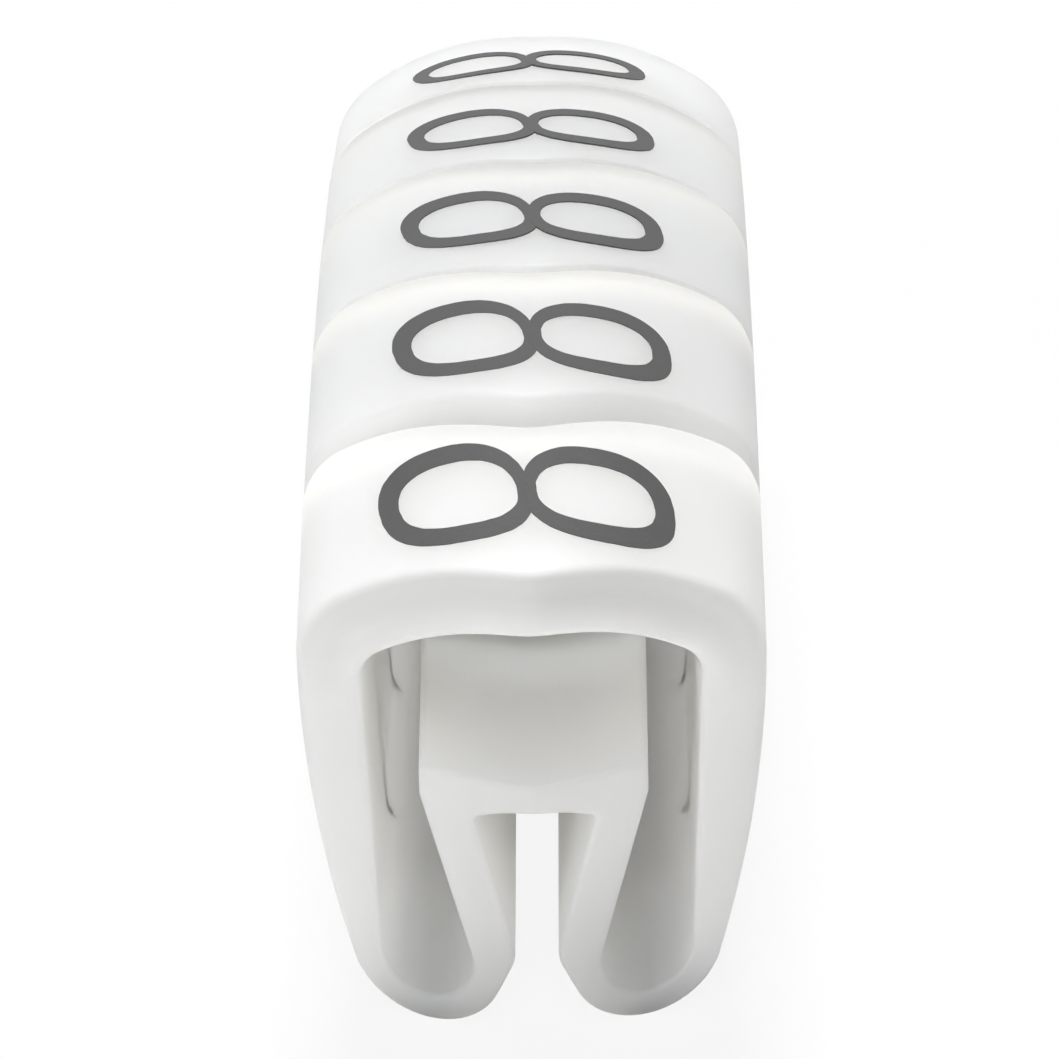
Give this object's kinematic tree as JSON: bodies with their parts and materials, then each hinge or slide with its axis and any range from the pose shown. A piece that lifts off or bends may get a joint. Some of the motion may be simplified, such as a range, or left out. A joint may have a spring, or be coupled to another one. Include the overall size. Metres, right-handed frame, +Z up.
{
  "type": "cable marker",
  "caption": "Arched strip of joined slide-on cable markers: a soft white extrusion with a crowned top, wire chamber, folded legs and bottom slot, parted from above by V-shaped cuts.",
  "frame": {"origin": "centre of the strip's footprint, on the surface that the feet of its two ends stand on", "axes": "+Y along the strip, away from the tips of its V-shaped cuts; +X across it; +Z up through the crown"},
  "size_m": [0.005, 0.0174, 0.0066],
  "materials": {
    "strip": "satin white soft plastic, slightly translucent",
    "ink": "matte dark grey print"
  },
  "bodies": {
    "root": {"marker_strip": "strip"}
  },
  "joints": []
}
